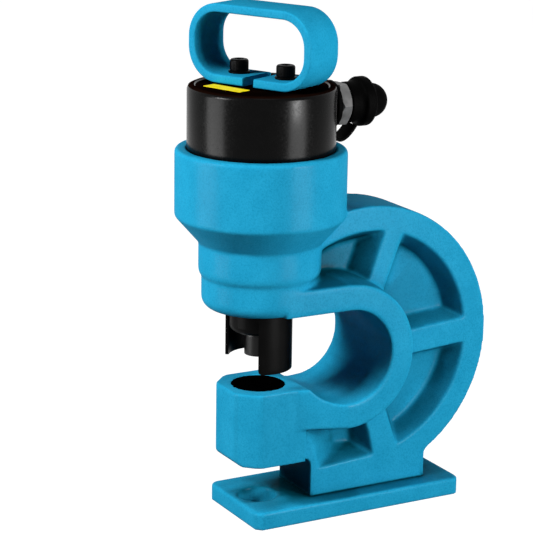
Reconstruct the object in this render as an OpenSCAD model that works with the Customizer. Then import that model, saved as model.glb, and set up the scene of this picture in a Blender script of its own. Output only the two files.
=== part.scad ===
// Hydraulic hole punch: cast C-frame on a foot plate, single-acting cylinder with
// spring return, punch, die and stripper, carrying handle and quick-connect inlet.
// Millimetres. Z runs up the punch axis from the underside of the foot plate,
// -X is the open side of the throat and +X the back of the frame.

/* [Foot plate] */
// Length of the foot plate
base_l = 170; // [160:1:190]
// Width of the foot plate
base_w = 75; // [66:1:90]
// Thickness of the foot plate
base_t = 12.5; // [10:0.5:16]
// How far the foot plate reaches in front of the punch axis
base_front = 19.7; // [18:0.5:30]
// Corner radius of the foot plate
base_corner_r = 7; // [3:1:12]
// Radius of the slug hole in the foot plate
slug_hole_r = 13.8; // [13:0.2:15]

/* [Frame casting] */
// Height of the lower jaw's top above the floor
jaw_top_z = 96; // [92:1:100]
// Clear height between the jaws
gap_h = 57; // [54:1:60]
// Radius of the throat
throat_r = 34.5; // [32:0.5:36]
// Depth of the throat's centre behind the punch axis
throat_x = 51.3; // [50:0.5:56]
// Width of the frame through the throat and the upper jaw
frame_w = 81.5; // [80:0.5:86]
// Wall of the band round the throat, at its face
band_wall = 17.9; // [15:0.5:20]
// How much the band thickens toward the middle of the casting
band_draft = 4; // [2:0.5:5]
// Width of the lower jaw at its tip
jaw_w = 56; // [52:1:60]
// Reach of the lower jaw's tip in front of the punch axis
jaw_tip = 26.5; // [25:0.5:30]
// Height of the lower jaw's underside above the foot plate
jaw_clear = 29.5; // [24:0.5:32]
// Corner cut of the lower jaw's tip
jaw_cut = 15; // [8:1:17]
// Where the lower jaw's sides begin to widen, behind the punch axis
flare_x = 15.5; // [10:0.5:20]
// Outer radius of the back ring
ring_r = 101.5; // [98:0.5:104]
// Depth of the ring's centre behind the punch axis
ring_x = 75; // [72:0.5:78]
// Height of the ring's lowest point above the foot plate
ring_foot = 6; // [3:0.5:9]
// Width of the back ring, its ribs and the pedestal
ring_w = 46; // [40:1:52]
// Radial width of the ring's rim at its face
rim_wall = 17.5; // [14:0.5:22]
// Thickness of the web between the pockets
web_t = 14; // [10:1:18]
// Inward slope of the pocket walls over their depth
pocket_draft = 9; // [6:0.5:11]
// Front of the pedestal behind the punch axis
pedestal_front = 31; // [28:0.5:34]
// Length of the pedestal on the foot plate
pedestal_l = 96.5; // [90:0.5:104]
// Height of the pedestal's plain band above the foot plate
pedestal_band = 20.5; // [18:0.5:24]
// Radius of the hollows where the pedestal meets the ring and the jaw
hollow_r = 6; // [3:0.5:8]

/* [Ribs] */
// Width of the upper rib
rib_a_w = 14.3; // [10:0.5:18]
// Lean of the upper rib
rib_a_ang = 69.5; // [66:0.5:73]
// Width of the middle rib
rib_b_w = 18; // [12:0.5:22]
// Lean of the middle rib
rib_b_ang = 4.3; // [0:0.5:8]
// Width of the lower rib
rib_c_w = 17.4; // [12:0.5:20]
// Lean of the lower rib
rib_c_ang = -70.5; // [-74:0.5:-67]

/* [Head of the frame] */
// Radius of the collar that holds the cylinder
collar_r = 59.8; // [58:0.2:62]
// Height of the collar
collar_h = 47; // [42:1:54]
// Height of the cone under the collar
cone_h = 19; // [16:0.5:24]
// Radius of the boss under the cone
boss_r = 43; // [42:0.2:45]
// Height of the boss above the upper jaw's underside
boss_h = 47; // [44:1:52]
// Radius of the lower boss, flush with the upper jaw
nose_r = 40.8; // [40.5:0.1:42]
// Height of the step between the two bosses above the upper jaw's underside
step_h = 25; // [22:0.5:28]
// Edge radius of the nose's underside
nose_edge = 8; // [5:0.5:10]
// Thickness of the upper jaw at its face
jaw_t = 18.4; // [16:0.5:20]

/* [Hydraulic cylinder] */
// Outer radius of the cylinder
cyl_r = 51.5; // [50:0.5:53]
// Height of the cylinder above the collar
cyl_stand = 44; // [42:1:54]
// Bore radius of the cylinder
bore_r = 40; // [36:0.5:42]
// Thickness of the cylinder's closed end
cyl_roof = 26; // [25:1:32]
// Height of the piston
piston_h = 32; // [28:1:36]
// Stroke of the ram
stroke = 25; // [15:1:28]
// Radius of the ram
ram_r = 21; // [19:0.5:22]
// How far the ram stands out of the boss at rest
ram_stand = 17.5; // [14:0.5:20]
// Wire of the return spring
spring_wire = 5; // [4:0.5:6]
// Mean radius of the return spring
spring_r = 28.5; // [27.5:0.5:30]
// Turns of the return spring
spring_turns = 6; // [4:1:7]
// Length of the bronze guide bush
bush_l = 18.5; // [14:0.5:22]

/* [Punch, die and stripper] */
// Radius of the punch's tip
punch_r = 10.25; // [4:0.25:12]
// How far the punch enters the die at the end of its stroke
punch_entry = 2.5; // [1:0.25:4]
// Radius of the punch's shank
shank_r = 16; // [14:0.5:16.5]
// Radius of the die
die_r = 19; // [17:0.5:20]
// Height of the die
die_h = 25; // [20:1:30]
// Radial clearance between punch and die
cut_clear = 0.35; // [0.1:0.05:0.6]
// Radius of the slug passage in the lower jaw
slug_r = 12.6; // [12.5:0.1:13.5]
// Wall of the stripper
stripper_wall = 2.3; // [2:0.1:3]
// Length of the stripper's near leg below the boss
stripper_l = 44; // [38:0.5:46]
// How much shorter the far leg is
leg_cut = 7; // [0:0.5:8]
// Angle that each leg of the stripper covers
leg_angle = 90; // [70:1:100]
// Turn of the stripper's windows about the punch axis
stripper_turn = 16; // [0:1:30]

/* [Handle] */
// Length of the handle's loop
handle_l = 103; // [95:1:115]
// Height of the handle's loop
handle_h = 54.5; // [48:0.5:62]
// Width of the handle's strip
handle_w = 33; // [25:1:40]
// Thickness of the handle's strip
handle_t = 6; // [4:0.5:8]
// Gap between the handle's two feet
handle_gap = 9.4; // [6:0.2:12]
// Distance of each bolt from the end of the handle's loop
bolt_inset = 31.8; // [31.5:0.1:34]
// Corner radius of the handle's loop
handle_end_r = 24; // [20:0.5:24]
// Turn of the handle about the cylinder's axis
handle_ang = -65; // [-90:5:0]

/* [Inlet] */
// Depth of the inlet's axis under the cylinder's top
inlet_drop = 17.5; // [17:0.5:20]
// Radius of the inlet adapter's shoulder
adapter_r = 14; // [12:0.5:15]
// Width across the flats of the coupler's hexagon
hex_af = 28; // [26:1:30]
// Length of the coupler's hexagon
hex_l = 8; // [6:0.5:10]
// Length of the adapter's shoulder
shoulder_l = 5.5; // [5.5:0.1:7]
// Radius of the coupler's nipple
nipple_r = 10.5; // [9:0.5:11.5]
// Length of the coupler's nipple
nipple_l = 22; // [18:1:26]
// Radius of the dust cap's rim
cap_r = 17.5; // [16:0.5:19]
// Width of the dust cap's strap
strap_w = 15; // [8:1:18]
// Thickness of the dust cap's strap
strap_t = 2.4; // [1.6:0.2:3]

/* [Hidden] */
$fn = 96;
eps = 0.05;
overrun = 60;    // length of a cut that runs out into the open
fit = 0.05;      // running clearance on a radius
seat = 0.3;      // gap at a loose seat
paint = [0.14, 0.61, 0.78];
black = [0.05, 0.05, 0.05];
steel = [0.55, 0.55, 0.56];

// Heights on the punch axis
jaw_bottom_z = base_t + jaw_clear;
nose_z = jaw_top_z + gap_h;
throat_z = nose_z - throat_r;
boss_top_z = nose_z + boss_h;
collar_z = boss_top_z + cone_h;
collar_top_z = collar_z + collar_h;
cyl_top_z = collar_top_z + cyl_stand;
roof_z = cyl_top_z - cyl_roof;
seat_z = collar_z + 1;               // floor that the cylinder stands on
recess_h = 8.5;                      // stripper's recess in the nose
bush_z = nose_z + recess_h;
well_z = bush_z + bush_l;            // floor of the spring's well
well_r = spring_r + spring_wire / 2 + 2.5;
piston_top_z = roof_z - 1;
piston_z = piston_top_z - piston_h;
ram_z = nose_z - ram_stand;
tip_z = jaw_top_z + stroke - punch_entry;
punch_stand = ram_z - tip_z;         // how far the tip stands out of the ram
die_z = jaw_top_z - die_h;
half_w = frame_w / 2;
half_ring = ring_w / 2;
ring_z = base_t + ring_foot + ring_r;
band_r = throat_r + band_wall;
stripper_in_r = ram_r + seat;
stripper_r = stripper_in_r + stripper_wall;
flange_r = stripper_r + 4;
rim_in_r = ring_r - rim_wall;
pocket_d = (ring_w - web_t) / 2;

// Turns a solid that is drawn along +Z so that it runs along +Y
module along_y() rotate([-90, 0, 0]) children();
// Turns a solid that is drawn along +Z so that it runs along +X
module along_x() rotate([0, 90, 0]) children();

// Ring of revolution between two radii
module tube(r_out, r_in, h) difference() {
    cylinder(r = r_out, h = h);
    translate([0, 0, -1]) cylinder(r = r_in, h = h + 2);
}

// Hexagon socket, drawn downwards from its mouth
module hex_socket(af, depth) translate([0, 0, -depth])
    cylinder(r = af / sqrt(3), h = depth + 1, $fn = 6);

// Socket head cap screw, its head standing on z = 0 and its shank below
module cap_screw(d, l) difference() {
    union() {
        cylinder(r = d * 0.8125, h = d - 1);
        translate([0, 0, d - 1]) cylinder(r1 = d * 0.8125, r2 = d * 0.8125 - 1, h = 1);
        translate([0, 0, -l]) cylinder(r = d / 2 - fit, h = l + eps);
    }
    translate([0, 0, d]) hex_socket(d * 0.75, d * 0.5);
}

// Headless set screw, its socket at z = 0 and its point below
module grub_screw(d, l, point_r) {
    cone = d / 2 - fit - point_r;
    difference() {
        union() {
            translate([0, 0, -l + cone]) cylinder(r = d / 2 - fit, h = l - cone);
            translate([0, 0, -l]) cylinder(r1 = point_r, r2 = d / 2 - fit, h = cone);
        }
        hex_socket(d / 2, min(d / 2, l - cone - 0.5));
    }
}

// Foot plate

base_screw_x = [pedestal_front + 17, pedestal_front + pedestal_l - 17];
base_screw_y = ring_w / 4;
base_screw_l = 28;
base_screw_d = 8;

module at_base_screws() for (x = base_screw_x, s = [-1, 1])
    translate([x, s * base_screw_y, 0]) children();

module base_plate() color(paint) difference() {
    union() {
        for (x = [base_corner_r, base_l - base_corner_r], s = [-1, 1])
            translate([x - base_front, s * (base_w / 2 - base_corner_r), 0])
                cylinder(r = base_corner_r, h = base_t);
        translate([-base_front + base_corner_r, -base_w / 2, 0])
            cube([base_l - 2 * base_corner_r, base_w, base_t]);
        translate([-base_front, -base_w / 2 + base_corner_r, 0])
            cube([base_l, base_w - 2 * base_corner_r, base_t]);
    }
    translate([0, 0, -1]) cylinder(r = slug_hole_r, h = base_t + 2);
    at_base_screws() {
        translate([0, 0, -1]) cylinder(r = base_screw_d / 2 + 0.4, h = base_t + 2);
        translate([0, 0, -1]) cylinder(r1 = base_screw_d + 1.6, r2 = base_screw_d / 2 + 0.4, h = 5.6);
    }
}

module base_screws() color(black) at_base_screws() difference() {
    union() {
        translate([0, 0, 0.6]) cylinder(r1 = base_screw_d - 0.2, r2 = base_screw_d / 2, h = 4);
        translate([0, 0, 4]) cylinder(r = base_screw_d / 2 - fit, h = base_screw_l - 4);
    }
    translate([0, 0, 0.6]) mirror([0, 0, 1]) hex_socket(base_screw_d * 0.62, 3);
}

// Frame casting

// Outside of the collar, the cone and the two bosses
module head_outside() rotate_extrude() polygon(concat(
    [[0, nose_z]],
    [for (i = [0 : 6]) let (t = i * 15) [nose_r - nose_edge + nose_edge * sin(t),
        nose_z + nose_edge - nose_edge * cos(t)]],
    [[nose_r, nose_z + step_h - 3], [nose_r + 0.4, nose_z + step_h - 1],
        [boss_r - 0.6, nose_z + step_h], [boss_r, nose_z + step_h + 3], [boss_r, boss_top_z],
        [collar_r, collar_z], [collar_r, collar_top_z - 1.5], [collar_r - 1.5, collar_top_z],
        [0, collar_top_z]]));

// Upper jaw between the boss and the throat, with a ridge along its top
module upper_jaw() translate([0, 0, nose_z]) rotate([90, 0, 90])
    linear_extrude(throat_x) polygon([[-half_w, 0], [half_w, 0], [half_w, jaw_t],
        [web_t / 2, jaw_t + band_draft], [-web_t / 2, jaw_t + band_draft], [-half_w, jaw_t]]);

// Half ring behind the throat, thicker toward its middle
module throat_band() intersection() {
    translate([throat_x, 0, throat_z]) for (s = [-1, 1]) scale([1, s, 1]) along_y() {
        cylinder(r = band_r + band_draft, h = web_t / 2);
        translate([0, 0, web_t / 2])
            cylinder(r1 = band_r + band_draft, r2 = band_r, h = half_w - web_t / 2);
    }
    translate([throat_x, -half_w - 1, throat_z - 2 * band_r])
        cube([2 * band_r, frame_w + 2, 4 * band_r]);
}

// Lower jaw: a deep tip under the die, and sides that widen toward the throat
module lower_jaw() {
    tip = jaw_w / 2;
    translate([0, 0, throat_z - band_r]) linear_extrude(jaw_top_z - throat_z + band_r)
        polygon([[0, -tip], [flare_x, -tip], [throat_x, -half_w], [throat_x, half_w],
            [flare_x, tip], [0, tip]]);
    difference() {
        translate([0, 0, jaw_bottom_z]) linear_extrude(jaw_top_z - jaw_bottom_z)
            polygon([[-jaw_tip, -tip + jaw_cut], [-jaw_tip + 1.5, -tip + jaw_cut - 3.5],
                [-jaw_tip + jaw_cut - 3.5, -tip + 1.5], [-jaw_tip + jaw_cut, -tip],
                [pedestal_front - 7, -tip], [pedestal_front - 7, tip],
                [-jaw_tip + jaw_cut, tip], [-jaw_tip + jaw_cut - 3.5, tip - 1.5],
                [-jaw_tip + 1.5, tip - jaw_cut + 3.5], [-jaw_tip, tip - jaw_cut]]);
        translate([-jaw_tip, 0, jaw_bottom_z]) rotate([0, 45, 0]) cube([6, jaw_w + 2, 6], center = true);
    }
}

// One rib across both sides of the web, from the band outwards
module rib(x, z, ang, w, spread) translate([x, 0, z]) rotate([0, 90 - ang, 0])
    linear_extrude(ring_r) polygon([[-w / 2, -half_ring], [w / 2, -half_ring],
        [w / 2 + spread, -web_t / 2 + 1], [w / 2 + spread, web_t / 2 - 1], [w / 2, half_ring],
        [-w / 2, half_ring], [-w / 2 - spread, web_t / 2 - 1], [-w / 2 - spread, -web_t / 2 + 1]]);

// Root of a rib, in the middle of the band's wall, at the angle where the rib meets the band
function root(a) = [throat_x + (throat_r + 8.5) * cos(a), throat_z + (throat_r + 8.5) * sin(a)];
root_a = root(52);
root_b = root(-3);
root_c = root(-52);

module ribs() intersection() {
    union() {
        rib(root_a[0], root_a[1], rib_a_ang, rib_a_w, pocket_draft + 3);
        rib(root_b[0], root_b[1], rib_b_ang, rib_b_w, pocket_draft - 2);
        rib(root_c[0], root_c[1], rib_c_ang, rib_c_w, pocket_draft);
    }
    translate([ring_x, 0, ring_z]) along_y() translate([0, 0, -half_ring - 1])
        cylinder(r = ring_r - rim_wall / 2, h = ring_w + 2, $fn = 180);
}

// Disc of the back ring with a dished pocket on each side of its web
module ring_disc() difference() {
    translate([ring_x, 0, ring_z]) along_y() translate([0, 0, -half_ring])
        cylinder(r = ring_r, h = ring_w, $fn = 180);
    for (s = [-1, 1]) scale([1, s, 1]) translate([ring_x, web_t / 2, ring_z]) along_y()
        cylinder(r1 = rim_in_r - pocket_draft, r2 = rim_in_r + pocket_draft / pocket_d,
            h = pocket_d + 1, $fn = 180);
    translate([-ring_r, -half_ring - 1, 0]) cube([ring_r, ring_w + 2, ring_z + 2 * ring_r]);
    translate([-ring_r, -half_ring - 1, 0]) cube([ring_r + pedestal_front, ring_w + 2, jaw_bottom_z + eps]);
}

// Four-sided pocket over the pedestal, on one side
module pedestal_pocket() {
    top = throat_z - band_r - 2;
    low = base_t + pedestal_band;
    px = pedestal_front;
    face = [[px - 3, top], [px + 5, low], [px + 52.5, low + 3], [px + 46, top]];
    bed = [[px + 27, top - 9], [px + 28, low + 12], [px + 40, low + 11], [px + 39, top - 9]];
    hull() {
        translate([0, half_ring + 1, 0]) rotate([90, 0, 0]) linear_extrude(1) polygon(face);
        translate([0, web_t / 2 + 1, 0]) rotate([90, 0, 0]) linear_extrude(1) polygon(bed);
    }
}

// Pedestal that carries the ring and the lower jaw, with its hollows at front and back
pedestal_back = pedestal_front + pedestal_l;
back_hollow_x = pedestal_back + hollow_r;
back_hollow_z = ring_z - sqrt(pow(ring_r + hollow_r, 2) - pow(back_hollow_x - ring_x, 2));
to_rim = (ring_r - 4) / (ring_r + hollow_r);     // share of the way from the ring's centre to the hollow's
in_rim = [ring_x + (back_hollow_x - ring_x) * to_rim - 3, ring_z + (back_hollow_z - ring_z) * to_rim];

module pedestal() difference() {
    translate([0, half_ring, 0]) rotate([90, 0, 0]) linear_extrude(ring_w) difference() {
        polygon([[pedestal_front, base_t], [pedestal_back, base_t], [pedestal_back, back_hollow_z],
            [back_hollow_x, back_hollow_z], in_rim,
            [pedestal_front + 57, base_t + pedestal_band], [pedestal_front + 57, jaw_bottom_z + 30],
            [pedestal_front - 11, jaw_bottom_z + 30], [pedestal_front - 11, jaw_bottom_z],
            [pedestal_front - hollow_r, jaw_bottom_z], [pedestal_front, jaw_bottom_z - hollow_r]]);
        translate([back_hollow_x, back_hollow_z]) circle(r = hollow_r);
        translate([pedestal_front - hollow_r, jaw_bottom_z - hollow_r]) circle(r = hollow_r);
    }
    for (s = [-1, 1]) scale([1, s, 1]) pedestal_pocket();
}

// Ring and pedestal with the pocket over the pedestal cut through both
module ring_plate() {
    difference() {
        ring_disc();
        for (s = [-1, 1]) scale([1, s, 1]) pedestal_pocket();
    }
    pedestal();
}

screw_r = 4;         // M8 set screws of the die, the cylinder and the punch
small_screw_r = 3;   // M6 set screw of the stripper
lock_z = collar_z + 24;
stripper_screw_z = nose_z + recess_h / 2;
die_screw_z = jaw_top_z - die_h / 2;

module frame() color(paint) difference() {
    union() {
        head_outside();
        upper_jaw();
        throat_band();
        lower_jaw();
        ring_plate();
        ribs();
    }
    // throat and the mouth between the jaws
    translate([throat_x, -overrun, throat_z]) along_y() cylinder(r = throat_r, h = 2 * overrun, $fn = 180);
    translate([throat_x - overrun - jaw_w, -overrun, jaw_top_z]) cube([overrun + jaw_w, 2 * overrun, gap_h]);
    // seat of the cylinder, well of the spring, bush and stripper
    translate([0, 0, seat_z]) cylinder(r = cyl_r + fit, h = collar_top_z);
    translate([0, 0, well_z]) cylinder(r = well_r, h = collar_top_z);
    translate([0, 0, bush_z - eps]) cylinder(r = ram_r + bush_wall + fit, h = bush_l + 1);
    translate([0, 0, nose_z - 1]) cylinder(r = flange_r + fit, h = recess_h + 1);
    // die and slug passage
    translate([0, 0, die_z]) cylinder(r = die_r + fit, h = die_h + 1);
    translate([0, 0, jaw_bottom_z - 5]) cylinder(r = slug_r, h = overrun);
    // screws
    translate([0, die_r - 1, die_screw_z]) along_y() cylinder(r = screw_r, h = overrun);
    translate([cyl_r - 1, 0, lock_z]) along_x() cylinder(r = screw_r, h = overrun);
    translate([0, flange_r - 2, stripper_screw_z]) along_y() cylinder(r = small_screw_r, h = overrun);
    at_base_screws() translate([0, 0, base_t - 1]) cylinder(r = base_screw_d / 2, h = base_screw_l - base_t + 3);
}

// Die and its set screw

groove_h = 2;
module die() color(black) translate([0, 0, die_z]) difference() {
    rotate_extrude() polygon([[punch_r + cut_clear + 1.2, 0], [die_r - 1, 0], [die_r, 1],
        [die_r, die_h / 2 - groove_h], [die_r - groove_h, die_h / 2], [die_r, die_h / 2 + groove_h],
        [die_r, die_h - 1], [die_r - 1, die_h], [punch_r + cut_clear, die_h],
        [punch_r + cut_clear, die_h - 6], [punch_r + cut_clear + 1.2, die_h - 9]]);
}

module die_set_screw() color(black) translate([0, jaw_w / 2 - 1, die_screw_z]) along_y()
    grub_screw(2 * screw_r, jaw_w / 2 - 1 - die_r + groove_h * 0.7, 0.4);

// Cylinder and what moves in it

gallery_z = cyl_top_z - inlet_drop;
port_r = 8.3;
thread_l = 12;                // how deep the adapter's thread goes into the port
spot_x = cyl_r - 2.5;         // flat that the port's seal sits on
bolt_hole_l = 13;
handle_bolt_d = 8;

module at_handle_bolts() rotate([0, 0, handle_ang]) for (s = [-1, 1])
    translate([s * (handle_l / 2 - bolt_inset), 0, 0]) children();

module cylinder_body() color(black) difference() {
    rotate_extrude() polygon([[0, roof_z], [bore_r, roof_z], [bore_r, seat_z], [cyl_r - 2, seat_z],
        [cyl_r, seat_z + 2], [cyl_r, cyl_top_z - 3], [cyl_r - 0.9, cyl_top_z - 0.9],
        [cyl_r - 3, cyl_top_z], [cyl_r - 5, cyl_top_z], [cyl_r - 5.8, cyl_top_z - 0.8],
        [0, cyl_top_z - 0.8]]);
    translate([spot_x, 0, gallery_z]) along_x() cylinder(r = adapter_r + 1.5, h = 10);
    translate([spot_x - thread_l - 2, 0, gallery_z]) along_x() cylinder(r = port_r, h = overrun);
    translate([14, 0, gallery_z]) along_x() cylinder(r = 3, h = 30);
    translate([18, 0, roof_z - 1]) cylinder(r = 3, h = gallery_z - roof_z + 1);
    at_handle_bolts() translate([0, 0, cyl_top_z - bolt_hole_l - 1]) cylinder(r = handle_bolt_d / 2, h = bolt_hole_l + 2);
    translate([cyl_r - 1.6, 0, lock_z]) along_x() cylinder(r = screw_r, h = 4);
}

module cylinder_lock_screw() color(black) translate([collar_r - 0.6, 0, lock_z]) along_x()
    grub_screw(2 * screw_r, collar_r - cyl_r + 0.7, 3);

seal_h = 9;
guide_h = 7;
bolt_seat = 11;                      // depth of the pocket for the ram bolt's head
ram_bolt_d = 12;
ram_bolt_l = 24;
spigot_r = 14;                       // spigot of the ram in the piston
spigot_l = 15;

module piston() color(steel) difference() {
    rotate_extrude() polygon([[0, piston_z], [bore_r - 1.5, piston_z], [bore_r - fit, piston_z + 1.5],
        [bore_r - fit, piston_z + 4], [bore_r - 3, piston_z + 4], [bore_r - 3, piston_z + 4 + guide_h],
        [bore_r - fit, piston_z + 4 + guide_h], [bore_r - fit, piston_top_z - 4 - seal_h],
        [bore_r - 6, piston_top_z - 4 - seal_h], [bore_r - 6, piston_top_z - 4],
        [bore_r - fit, piston_top_z - 4], [bore_r - fit, piston_top_z - 1.5],
        [bore_r - 1.5, piston_top_z], [0, piston_top_z]]);
    translate([0, 0, piston_z - 1]) cylinder(r = spigot_r + fit, h = spigot_l + 1);
    translate([0, 0, piston_z]) cylinder(r = ram_bolt_d / 2 + 0.4, h = piston_h);
    translate([0, 0, piston_top_z - bolt_seat]) cylinder(r = ram_bolt_d * 0.75 + 1.4, h = bolt_seat + 1);
}

module piston_guide_ring() color("tan") translate([0, 0, piston_z + 4 + fit])
    tube(bore_r - fit, bore_r - 3 + fit, guide_h - 2 * fit);

// U-shaped lip seal, open toward the pressure
module piston_seal() color("darkgreen") translate([0, 0, piston_top_z - 4 - seal_h + fit])
    rotate_extrude() polygon([[bore_r - 6 + fit, 0], [bore_r - fit, 0], [bore_r - fit, seal_h - 0.2],
        [bore_r - 1.4, seal_h - 0.2], [bore_r - 2.6, 4], [bore_r - 3.4, 4],
        [bore_r - 4.6, seal_h - 0.2], [bore_r - 6 + fit, seal_h - 0.2]]);

socket_h = 30;                       // depth of the ram's socket for the punch
punch_screw_z = ram_z + 9;
module ram_rod() color(steel) difference() {
    rotate_extrude() polygon(concat([[0, ram_z]],
        [for (i = [0 : 6]) let (t = i * 15) [ram_r - 5 + 5 * sin(t), ram_z + 5 - 5 * cos(t)]],
        [[ram_r, piston_z], [spigot_r, piston_z], [spigot_r, piston_z + spigot_l - 1],
            [spigot_r - 1, piston_z + spigot_l], [0, piston_z + spigot_l]]));
    translate([0, 0, ram_z - 1]) cylinder(r = shank_r + fit, h = socket_h + 1 - 10);
    translate([0, 0, ram_z + socket_h - 10]) cylinder(r1 = shank_r + fit, r2 = 5, h = 10.5);
    translate([0, 0, piston_z - ram_bolt_d]) cylinder(r = ram_bolt_d / 2, h = overrun);
    translate([shank_r - 1, 0, punch_screw_z]) along_x() cylinder(r = screw_r, h = ram_r);
}

module ram_bolt() color(black) translate([0, 0, piston_top_z - bolt_seat]) difference() {
    union() {
        cylinder(r = ram_bolt_d * 0.75, h = bolt_seat - 1);
        translate([0, 0, -ram_bolt_l]) cylinder(r = ram_bolt_d / 2 - fit, h = ram_bolt_l + eps);
    }
    translate([0, 0, bolt_seat - 1]) hex_socket(ram_bolt_d - 2, ram_bolt_d / 2);
}

// Punch: cutting tip, flare, shank and a cone that centres it in the ram
module punch() color(black) translate([0, 0, tip_z]) rotate_extrude() polygon([[0, 0],
    [punch_r, 0], [punch_r, punch_stand - 3], [punch_r - 0.8, punch_stand + 1], [shank_r, punch_stand + 6.5],
    [shank_r, punch_stand + socket_h - 11.5], [5.5, punch_stand + socket_h - 1.3],
    [0, punch_stand + socket_h - 1.3]]);

module punch_set_screw() color(black) translate([ram_r - 0.3, 0, punch_screw_z]) along_x()
    grub_screw(2 * screw_r, ram_r - shank_r - 0.4, 3);

bush_wall = 7;
wiper_w = 3.5;
wiper_h = 4;
module guide_bush() color("darkgoldenrod") difference() {
    translate([0, 0, bush_z]) tube(ram_r + bush_wall, ram_r + fit, bush_l);
    translate([0, 0, bush_z - 1]) cylinder(r = ram_r + wiper_w, h = wiper_h + 1);
}

module rod_wiper() color(black) translate([0, 0, bush_z]) rotate_extrude() polygon([
    [ram_r + fit, 0], [ram_r + wiper_w - fit, 0], [ram_r + wiper_w - fit, wiper_h - fit],
    [ram_r + wiper_w - 2, wiper_h - fit], [ram_r + fit, 1.2]]);

// Compression spring: one closed tube swept along a helix with dead end turns
spring_z0 = well_z + 0.2;
spring_h = piston_z - well_z - 0.4;
ring_steps = 24;
spring_sides = 6;
coil_rest = 0.6;                     // gap at the dead end turns

// Height of the wire's centre after u turns: dead turns at both ends, even pitch between
function coil_z(u, turns, h, wire) = let (dead = 1, lift = wire + coil_rest)
    u < dead ? wire / 2 + lift * u
    : u > turns - dead ? h - wire / 2 - lift * (turns - u)
    : wire / 2 + lift + (h - wire - 2 * lift) * (u - dead) / (turns - 2 * dead);

// Points of a closed tube round a coil, ring by ring
function coil_points(turns, r, h, wire) = [for (i = [0 : turns * ring_steps], j = [0 : spring_sides - 1])
    let (u = i / ring_steps, a = 360 * u, t = 360 * j / spring_sides, q = r + wire / 2 * cos(t))
    [q * cos(a), q * sin(a), coil_z(u, turns, h, wire) + wire / 2 * sin(t)]];

function coil_faces(n) = concat(
    [for (i = [0 : n - 1], j = [0 : spring_sides - 1]) let (k = (j + 1) % spring_sides, a = i * spring_sides,
        b = a + spring_sides) [a + j, b + j, b + k]],
    [for (i = [0 : n - 1], j = [0 : spring_sides - 1]) let (k = (j + 1) % spring_sides, a = i * spring_sides,
        b = a + spring_sides) [a + j, b + k, a + k]],
    [for (j = [1 : spring_sides - 2]) [0, j, j + 1]],
    [for (j = [1 : spring_sides - 2]) let (e = n * spring_sides) [e, e + j + 1, e + j]]);

module coil(turns, r, h, wire) polyhedron(points = coil_points(turns, r, h, wire),
    faces = coil_faces(turns * ring_steps), convexity = 10);

module return_spring() color(steel) translate([0, 0, spring_z0]) coil(spring_turns, spring_r, spring_h, spring_wire);

// Least gap between two turns of the return spring
coil_gap = min([for (i = [0 : (spring_turns - 1) * ring_steps]) let (u = i / ring_steps)
    coil_z(u + 1, spring_turns, spring_h, spring_wire) - coil_z(u, spring_turns, spring_h, spring_wire)])
    - spring_wire;
echo(coil_gap = coil_gap);

// Stripper: a ring held in the nose and two curved legs beside the punch
module stripper() color(black) difference() {
    union() {
        translate([0, 0, nose_z + fit]) cylinder(r = flange_r, h = recess_h - 2 * fit);
        translate([0, 0, nose_z - stripper_l]) cylinder(r = stripper_r, h = stripper_l + 2);
    }
    translate([0, 0, nose_z - stripper_l - 1]) cylinder(r = stripper_in_r, h = stripper_l + recess_h + 2);
    rotate([0, 0, stripper_turn]) translate([0, 0, nose_z - stripper_l - 1]) {
        for (s = [-1, 1]) scale([s, 1, 1]) linear_extrude(stripper_l + 0.5) polygon([[0, 0],
            [2 * stripper_r * sin(leg_angle / 2), 2 * stripper_r * cos(leg_angle / 2)],
            [3 * stripper_r, 0], [2 * stripper_r * sin(leg_angle / 2), -2 * stripper_r * cos(leg_angle / 2)]]);
        translate([-stripper_r, 0, 0]) cube([2 * stripper_r, 2 * stripper_r, leg_cut + 1]);
    }
    translate([0, flange_r - 1.5, stripper_screw_z]) along_y() cylinder(r1 = 2, r2 = 3, h = 2);
}

module stripper_screw() color(black) translate([0, nose_r - 1, stripper_screw_z]) along_y()
    grub_screw(2 * small_screw_r, nose_r - 1 - flange_r + 0.4, 2);

// Handle: one flat strip bent into a loop, its two feet turned in
module handle_loop(inset) {
    r = handle_end_r - inset;
    for (x = [-1, 1], y = [-1, 1]) translate([x * (handle_l / 2 - handle_end_r), y * (handle_h / 2 - handle_end_r)])
        circle(r = r);
    square([handle_l - 2 * handle_end_r, handle_h - 2 * inset], center = true);
    square([handle_l - 2 * inset, handle_h - 2 * handle_end_r], center = true);
}

module handle() color(paint) translate([0, 0, cyl_top_z]) rotate([0, 0, handle_ang]) difference() {
    translate([0, handle_w / 2, handle_h / 2]) rotate([90, 0, 0]) linear_extrude(handle_w) difference() {
        handle_loop(0);
        handle_loop(handle_t);
        translate([-handle_gap / 2, -handle_h]) square([handle_gap, handle_h]);
    }
    for (s = [-1, 1]) translate([s * (handle_l / 2 - bolt_inset), 0, -1])
        cylinder(r = handle_bolt_d / 2 + 0.5, h = handle_t + 2);
}

washer_r = 7.5;
washer_t = 1.6;
module handle_washers() color(steel) translate([0, 0, cyl_top_z + handle_t]) at_handle_bolts()
    tube(washer_r, handle_bolt_d / 2 + 0.2, washer_t);

module handle_bolts() color(black) translate([0, 0, cyl_top_z + handle_t + washer_t]) at_handle_bolts()
    cap_screw(handle_bolt_d, handle_t + washer_t + bolt_hole_l - 1);

// Inlet: seal, adapter, coupler with its poppet, dust cap and strap

seal_t = 1.5;
oil_r = 3.5;
neck_r = 6;                          // chamber of the poppet and its spring
adapter_x = spot_x + seal_t;
hex_x = adapter_x + shoulder_l;
nipple_x = hex_x + hex_l;
nipple_end = nipple_x + nipple_l;

module at_inlet(x) translate([x, 0, gallery_z]) along_x() children();

module port_seal() color(steel) at_inlet(spot_x) tube(11.5, port_r + 0.3, seal_t);

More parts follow.
